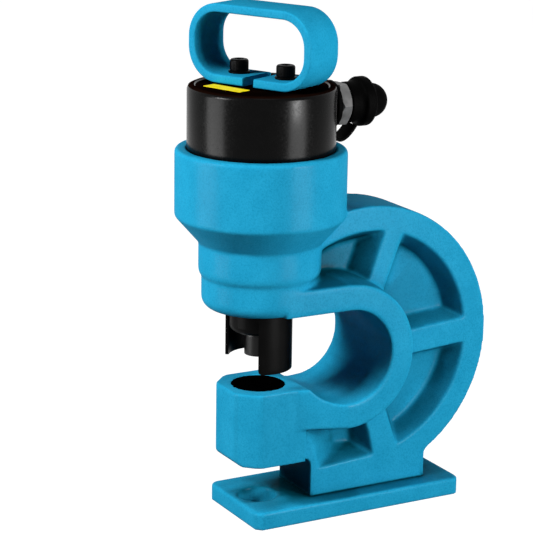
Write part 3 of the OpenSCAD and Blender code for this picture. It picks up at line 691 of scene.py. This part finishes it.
def makeHandle():
    turn = Matrix.Rotation(math.radians(handle["turn"]), 4, "Z")
    upright = Matrix.Rotation(math.pi / 2, 4, "X")
    place = Matrix.Translation((0, 0, handleFoot * mm)) @ turn @ upright
    obj = sweptStrip("carryHandle", handlePath(), handle["width"], handle["strip"], handle["edge"], place,
                     barPaint)
    standIn(obj, "handle", "press_frame", barPaint)


def boltPlaces(height):
    reach = handle["length"] / 2 - handle["boltInset"]
    turn = math.radians(handle["turn"])
    return [(side * reach * math.cos(turn), side * reach * math.sin(turn), height) for side in (-1, 1)]


# Screws and washers of the handle; a rounding is given as points (inward from the side, along the axis)

screw = {"headR": 6.5, "headH": 8.0, "footRound": [(0.6, 0), (0.15, 0.3), (0, 0.8)],
         "crownRound": [(0, 1.6), (0.1, 1.2), (0.45, 0.45), (1.1, 0.05), (1.5, 0)],
         "knurls": 40, "knurlPoints": 4, "knurlDepth": 0.18, "knurlRows": (2, 3),
         "socketR": 3.46, "flatShare": 0.866, "socketH": 4.0, "mouth": 0.25,
         "shankR": 3.95, "shankTop": 0.5, "shankL": 20.5, "tipR": 3.2, "tipL": 1.0, "shankSides": 24,
         "sharp": 38}
washer = {"outerR": 7.5, "innerR": 4.2, "innerEdge": 0.2, "outerEdge": 0.3, "sides": 64, "sharp": 30}


def knurl(i, k):
    groove = i in screw["knurlRows"] and k % screw["knurlPoints"] in (0, 1)
    return -screw["knurlDepth"] if groove else 0


def socketRing(sides, depth):
    # one hexagon of the socket, a little wider at its mouth
    points = []
    wider = screw["mouth"] if depth == 0 else 0
    for k in range(sides):
        angle = 2 * math.pi * k / sides
        sector = (angle % (math.pi / 3)) - math.pi / 6
        reach = screw["socketR"] * screw["flatShare"] / math.cos(sector) + wider
        points.append((reach * math.cos(angle), reach * math.sin(angle), screw["headH"] - depth))
    return points


def screwMesh():
    r = screw["headR"]
    h = screw["headH"]
    sides = screw["knurls"] * screw["knurlPoints"]
    profile = [(r - inward, up) for inward, up in screw["footRound"]]
    profile += [(r - inward, h - down) for inward, down in screw["crownRound"]]
    points, faces = turned(profile, sides, knurl)
    rim = len(profile) - 1
    for depth in (0, screw["mouth"], screw["socketH"]):
        points += socketRing(sides, depth)
    for row in range(rim, rim + 3):
        faces += ringFaces(row, sides)
    faces.append(tuple(range((rim + 3) * sides, (rim + 4) * sides)))
    faces.append(tuple(range(sides - 1, -1, -1)))
    first = len(points)
    shank = [(0, screw["shankTop"]), (screw["shankR"], screw["shankTop"]),
             (screw["shankR"], screw["tipL"] - screw["shankL"]), (screw["tipR"], -screw["shankL"]),
             (0, -screw["shankL"])]
    shankPoints, shankFaces = turned(shank, screw["shankSides"])
    points += shankPoints
    faces += [tuple(first + v for v in face) for face in shankFaces]
    mesh = meshFrom("socketScrew", points, faces)
    mesh.set_sharp_from_angle(angle=math.radians(screw["sharp"]))
    return mesh


def washerMesh():
    profile = ringProfile(washer["innerR"], washer["outerR"], washerHigh.z - washerLow.z,
                          washer["innerEdge"], washer["outerEdge"])
    mesh = meshFrom("washer", *turned(profile, washer["sides"]))
    mesh.set_sharp_from_angle(angle=math.radians(washer["sharp"]))
    return mesh


def makeHandleScrews():
    obj = repeated("handleScrews", screwMesh(), boltPlaces(washerHigh.z), look["oilBlack"])
    standIn(obj, "handle_bolts", "press_frame", look["oilBlack"])
    obj = repeated("handleWashers", washerMesh(), boltPlaces(washerLow.z), look["oilBlack"])
    standIn(obj, "handle_washers", "press_frame", look["oilBlack"])


makeHandle()
makeHandleScrews()
print("handle ready")


# Stripper: a ring in the nose and two curved legs with rounded lower corners

legs = {"wall": 2.3, "outerR": 23.6, "flangeR": 27.6, "flangeH": 8.4, "flangeEdge": 0.5, "flangeSides": 96,
        "span": 90.0, "turn": 16.0, "farCut": 7.0, "corner": 3.2, "sunk": 4, "columns": 48, "rows": 14,
        "edge": 0.5, "edgeSteps": 2, "sharp": 50}


def flangeProfile():
    top = stripperHigh.z
    low = top - legs["flangeH"]
    inner = legs["outerR"] - legs["wall"]
    outer = legs["flangeR"]
    edge = legs["flangeEdge"]
    return [(inner, low), (outer - edge, low), (outer, low + edge), (outer, top - edge),
            (outer - edge, top), (inner, top), (inner, low)]


def cornerLift(fromSide):
    # how far a leg's lower edge is lifted near its side, for a round corner
    corner = legs["corner"]
    if fromSide >= corner:
        return 0
    return corner - math.sqrt(corner ** 2 - (corner - fromSide) ** 2)


def legPoints(middle, low):
    # an outer and an inner layer of points, from inside the ring down to the leg's foot
    top = stripperHigh.z
    sunk = legs["sunk"]
    half = legs["span"] / 2
    points = []
    for radius in (legs["outerR"], legs["outerR"] - legs["wall"]):
        for i in range(legs["columns"] + 1):
            share = -math.cos(math.pi * i / legs["columns"])
            angle = math.radians(middle + half * share)
            fromSide = math.radians(half * (1 - abs(share))) * legs["outerR"]
            foot = low + cornerLift(fromSide)
            for j in range(legs["rows"] + 1):
                z = top - sunk + (foot - top + sunk) * j / legs["rows"]
                points.append((radius * math.cos(angle), radius * math.sin(angle), z))
    return points


def legFaces(start):
    columns = legs["columns"]
    rows = legs["rows"]
    layerSize = (columns + 1) * (rows + 1)

    def at(layer, i, j):
        return start + layer * layerSize + i * (rows + 1) + j

    faces = []
    for i in range(columns):
        for j in range(rows):
            faces.append((at(0, i, j), at(0, i, j + 1), at(0, i + 1, j + 1), at(0, i + 1, j)))
            faces.append((at(1, i, j), at(1, i + 1, j), at(1, i + 1, j + 1), at(1, i, j + 1)))
        faces.append((at(0, i, rows), at(1, i, rows), at(1, i + 1, rows), at(0, i + 1, rows)))
        faces.append((at(0, i, 0), at(0, i + 1, 0), at(1, i + 1, 0), at(1, i, 0)))
    for j in range(rows):
        faces.append((at(0, 0, j), at(1, 0, j), at(1, 0, j + 1), at(0, 0, j + 1)))
        faces.append((at(0, columns, j), at(0, columns, j + 1), at(1, columns, j + 1), at(1, columns, j)))
    return faces


def makeStripper():
    points, faces = turned(flangeProfile(), legs["flangeSides"])
    near = (-90 + legs["turn"], stripperLow.z)
    far = (90 + legs["turn"], stripperLow.z + legs["farCut"])
    for middle, low in (near, far):
        faces += legFaces(len(points))
        points += legPoints(middle, low)
    obj = addObject("stripperSleeve", meshFrom("stripperSleeve", points, faces))
    bevel = obj.modifiers.new("edge", "BEVEL")
    bevel.width = legs["edge"] * mm
    bevel.segments = legs["edgeSteps"]
    bevel.limit_method = "ANGLE"
    bevel.angle_limit = math.radians(legs["sharp"])
    bakeObject(obj)
    obj.data.shade_smooth()
    obj.data.set_sharp_from_angle(angle=math.radians(legs["sharp"]))
    standIn(obj, "stripper", "press_frame", look["oilBlack"])


makeStripper()
print("stripper ready")


# Dust cap: moulded rubber with a skirt, a grip and a domed end
# A pair is a point, counted from the radius of that part and along the axis from the skirt's end
# A bend is the first and last angle of a rounding, and its number of steps

cap = {"skirtR": 14.5, "skirtL": 8.5, "gripR": 17.5, "domeR": 12.3, "boreR": 10.8, "bore": 22.4,
       "nippleL": 22.0, "boreEdge": 0.4, "lip": 1.2, "lipBend": (-60, 0, 4),
       "flare": [(0.0, -1.5), (0.5, -0.1)], "gripRise": (-1.7, 1.3), "gripRound": 2.4,
       "gripStart": 3.6, "gripStartBend": (-60, 0, 6), "gripEnd": 7.8, "gripEndBend": (0, 65, 6),
       "gripFall": (-3.4, 10.6), "domeFoot": (0.5, 11.6), "domeBend": (4, 90, 14), "sides": 72, "sharp": 60}


def alongX(x):
    # turns a shape drawn along Z so that it runs along X from the inlet's axis
    return Matrix.Translation((x * mm, 0, inletZ * mm)) @ Matrix.Rotation(math.pi / 2, 4, "Y")


def capProfile():
    skirt = cap["skirtL"]
    lip = cap["lip"]
    roll = cap["gripRound"]

    def aside(radius, step):
        return (cap[radius] + step[0], skirt + step[1])

    profile = [(0, cap["bore"]), (cap["boreR"], cap["bore"]), (cap["boreR"], cap["boreEdge"]),
               (cap["boreR"] + cap["boreEdge"], 0), (cap["skirtR"] - lip, 0)]
    profile += arc(cap["skirtR"] - lip, lip, lip, *cap["lipBend"])
    profile += [aside("skirtR", step) for step in cap["flare"]]
    profile += [aside("gripR", cap["gripRise"])]
    profile += arc(cap["gripR"] - roll, skirt + cap["gripStart"], roll, *cap["gripStartBend"])
    profile += arc(cap["gripR"] - roll, skirt + cap["gripEnd"], roll, *cap["gripEndBend"])
    profile += [aside("gripR", cap["gripFall"]), aside("domeR", cap["domeFoot"])]
    profile += arc(0, cap["nippleL"], cap["domeR"], *cap["domeBend"])
    return profile


def makeDustCap():
    obj = addObject("dustCap", meshFrom("dustCap", *turned(capProfile(), cap["sides"])))
    obj.data.transform(alongX(capLow.x))
    obj.data.set_sharp_from_angle(angle=math.radians(cap["sharp"]))
    standIn(obj, "dust_cap", "cap", look["rubber"])


# Strap of the cap: a flat strip that hangs in a loop from the cap to a ring round the adapter

strap = {"width": 15.0, "thick": 2.4, "edge": 0.7, "shoulder": 5.5, "steps": 28,
         "capEnd": (6.9, 15.5), "capPull": 0.6, "ringPull": (3.5, 4.0), "ringEnd": 3.4, "follows": 4,
         "ringR": 14.2, "ringL": 3.7, "ringAt": 1.2, "ringInnerEdge": 0.3, "ringOuterEdge": 0.5,
         "ringSides": 64}


def strapRoute(t, pull):
    # point of a cubic curve through the first and last of four points
    share = [(1 - t) ** 3, 3 * t * (1 - t) ** 2, 3 * t * t * (1 - t), t ** 3]
    return (sum(s * p[0] for s, p in zip(share, pull)), sum(s * p[1] for s, p in zip(share, pull)))


def makeStrap():
    shoulder = adapterEnd - strap["shoulder"]
    r = strap["ringR"]
    pull = [(capLow.x + strap["capEnd"][0], inletZ - strap["capEnd"][1]),
            (capLow.x - strap["capPull"], frameHigh.z),
            (shoulder + strap["ringPull"][0], frameHigh.z - strap["ringPull"][1]),
            (shoulder + strap["ringEnd"], inletZ - r)]
    path = [strapRoute(i / strap["steps"], pull) for i in range(strap["steps"] + 1)]
    place = Matrix.Rotation(math.pi / 2, 4, "X")
    obj = sweptStrip("capStrap", path, strap["width"], strap["thick"], strap["edge"], place, look["rubber"])
    ring = ringProfile(r, r + strap["thick"], strap["ringL"], strap["ringInnerEdge"],
                       strap["ringOuterEdge"])
    ringMesh = meshFrom("strapRing", *turned(ring, strap["ringSides"]))
    ringMesh.transform(alongX(shoulder + strap["ringAt"]))
    work = bmesh.new()
    work.from_mesh(obj.data)
    work.from_mesh(ringMesh)
    work.to_mesh(obj.data)
    work.free()
    obj.data.shade_smooth()
    dress(obj, look["rubber"])
    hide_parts("cap_strap")
    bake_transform(obj)


makeDustCap()
makeStrap()
print("cap and strap ready")


# Plain yellow strip on the cylinder's top, which lies a little under the rim

strip = {"middle": (-27.5, 0.0), "length": 33.8, "width": 11.0, "turn": -71.0, "thick": 0.25, "corner": 0.8,
         "cornerSteps": 4, "underRim": 0.8}


def makeYellowStrip():
    halfL = strip["length"] / 2 - strip["corner"]
    halfW = strip["width"] / 2 - strip["corner"]
    corners = [(halfL, halfW, 0), (-halfL, halfW, 90), (-halfL, -halfW, 180), (halfL, -halfW, 270)]
    outline = []
    for cx, cy, first in corners:
        outline += arc(cx, cy, strip["corner"], first, first + 90, strip["cornerSteps"])
    count = len(outline)
    points = [(x, y, z) for z in (0, strip["thick"]) for x, y in outline]
    faces = [tuple(range(count, 2 * count)), tuple(range(count - 1, -1, -1))]
    faces += [(i, (i + 1) % count, count + (i + 1) % count, count + i) for i in range(count)]
    obj = addObject("yellowStrip", meshFrom("yellowStrip", points, faces, smooth=False))
    x, y = strip["middle"]
    obj.data.transform(Matrix.Translation((x * mm, y * mm, (cylHigh.z - strip["underRim"]) * mm))
                       @ Matrix.Rotation(math.radians(strip["turn"]), 4, "Z"))
    dress(obj, look["yellowFilm"])
    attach(obj, "press_frame")


makeYellowStrip()


# Studio: floor, lights and camera; lengths in metres

studio = {"cameraPlace": (-0.6882, -1.2570, 0.5600), "turn": 28.89, "tilt": 14.80, "roll": 0.80,
          "focalPixels": 2123.0, "pixels": 533.0, "sensor": 36.0, "farthest": 20,
          "aim": (0.03, 0, 0.2), "ambient": 0.015,
          "floorHalf": 6.0, "floorTone": 0.12, "floorRoughness": 0.9, "floorGlow": 1.0}
# azimuth is counted from -Y toward +X; radiance is the brightness of the lit panel
lamps = [
    {"name": "rightKey", "azimuth": 24, "elevation": 14, "distance": 1.5, "width": 0.30, "height": 0.45,
     "radiance": 54},
    {"name": "leftKey", "azimuth": -95, "elevation": 28, "distance": 1.5, "width": 0.44, "height": 0.4,
     "radiance": 52},
    {"name": "topFill", "azimuth": -20, "elevation": 75, "distance": 1.4, "width": 0.5, "height": 0.5,
     "radiance": 1.5},
    {"name": "rightStrip", "azimuth": 26, "elevation": -6, "distance": 0.6, "width": 0.28, "height": 0.42,
     "radiance": 14, "aim": (0, 0, 0.28), "gloss": True},
    {"name": "leftStrip", "azimuth": -101, "elevation": -6, "distance": 0.6, "width": 0.32, "height": 0.42,
     "radiance": 13, "aim": (0, 0, 0.28), "gloss": True}]


def addCamera():
    turn = math.radians(studio["turn"])
    tilt = math.radians(studio["tilt"])
    roll = math.radians(studio["roll"])
    ahead = Vector((math.sin(turn) * math.cos(tilt), math.cos(turn) * math.cos(tilt), -math.sin(tilt)))
    right = Vector((math.cos(turn), -math.sin(turn), 0))
    up = right.cross(ahead)
    rightRolled = right * math.cos(roll) + up * math.sin(roll)
    upRolled = up * math.cos(roll) - right * math.sin(roll)
    data = bpy.data.cameras.new("camera")
    data.sensor_width = studio["sensor"]
    data.lens = studio["sensor"] * studio["focalPixels"] / studio["pixels"]
    data.clip_end = studio["farthest"]
    obj = addObject("camera", data)
    axes = Matrix((rightRolled, upRolled, -ahead)).transposed()
    obj.matrix_world = Matrix.Translation(studio["cameraPlace"]) @ axes.to_4x4()
    bpy.context.scene.camera = obj


def addSoftbox(name, azimuth, elevation, distance, width, height, radiance, aim=studio["aim"], gloss=False):
    side = math.radians(azimuth)
    rise = math.radians(elevation)
    away = Vector((math.sin(side) * math.cos(rise), -math.cos(side) * math.cos(rise), math.sin(rise)))
    data = bpy.data.lights.new(name, "AREA")
    data.shape = "RECTANGLE"
    data.size = width
    data.size_y = height
    data.energy = radiance * math.pi * width * height
    obj = addObject(name, data)
    obj.location = Vector(aim) + away * distance
    obj.rotation_euler = (-away).to_track_quat("-Z", "Y").to_euler()
    # a gloss panel gives only a reflection, and no light on dull surfaces
    obj.visible_diffuse = not gloss
    obj.visible_camera = False


def whiteWhereSeen(tree):
    # 1 for camera, glossy and transmission rays, which all see the plain background
    path = tree.nodes.new("ShaderNodeLightPath")
    first = tree.nodes.new("ShaderNodeMath")
    first.operation = "MAXIMUM"
    second = tree.nodes.new("ShaderNodeMath")
    second.operation = "MAXIMUM"
    tree.links.new(path.outputs["Is Camera Ray"], first.inputs[0])
    tree.links.new(path.outputs["Is Glossy Ray"], first.inputs[1])
    tree.links.new(first.outputs["Value"], second.inputs[0])
    tree.links.new(path.outputs["Is Transmission Ray"], second.inputs[1])
    return second.outputs["Value"]


def addFloor():
    mesh = bpy.data.meshes.new("floor")
    half = studio["floorHalf"]
    corners = [(-half, -half, 0), (half, -half, 0), (half, half, 0), (-half, half, 0)]
    mesh.from_pydata(corners, [], [(0, 1, 2, 3)])
    floor = addObject("floor", mesh)
    material = bpy.data.materials.new("paleFloor")
    material.use_nodes = True
    tree = material.node_tree
    shader = tree.nodes["Principled BSDF"]
    shader.inputs["Base Color"].default_value = grey(studio["floorTone"])
    shader.inputs["Roughness"].default_value = studio["floorRoughness"]
    shader.inputs["Specular IOR Level"].default_value = 0.0
    glow = tree.nodes.new("ShaderNodeEmission")
    glow.inputs["Strength"].default_value = studio["floorGlow"]
    add = tree.nodes.new("ShaderNodeAddShader")
    mix = tree.nodes.new("ShaderNodeMixShader")
    tree.links.new(shader.outputs["BSDF"], add.inputs[0])
    tree.links.new(glow.outputs["Emission"], add.inputs[1])
    tree.links.new(whiteWhereSeen(tree), mix.inputs["Fac"])
    tree.links.new(shader.outputs["BSDF"], mix.inputs[1])
    tree.links.new(add.outputs["Shader"], mix.inputs[2])
    tree.links.new(mix.outputs["Shader"], tree.nodes["Material Output"].inputs["Surface"])
    dress(floor, material)


def addWorld():
    world = bpy.data.worlds.new("studio")
    bpy.context.scene.world = world
    world.use_nodes = True
    tree = world.node_tree
    dim = tree.nodes["Background"]
    dim.inputs["Color"].default_value = white
    dim.inputs["Strength"].default_value = studio["ambient"]
    bright = tree.nodes.new("ShaderNodeBackground")
    bright.inputs["Color"].default_value = white
    bright.inputs["Strength"].default_value = 1.0
    mix = tree.nodes.new("ShaderNodeMixShader")
    tree.links.new(whiteWhereSeen(tree), mix.inputs["Fac"])
    tree.links.new(dim.outputs["Background"], mix.inputs[1])
    tree.links.new(bright.outputs["Background"], mix.inputs[2])
    tree.links.new(mix.outputs["Shader"], tree.nodes["World Output"].inputs["Surface"])


addCamera()
addFloor()
addWorld()
for lamp in lamps:
    addSoftbox(**lamp)
bpy.context.scene.view_settings.view_transform = "Standard"
print("studio ready")
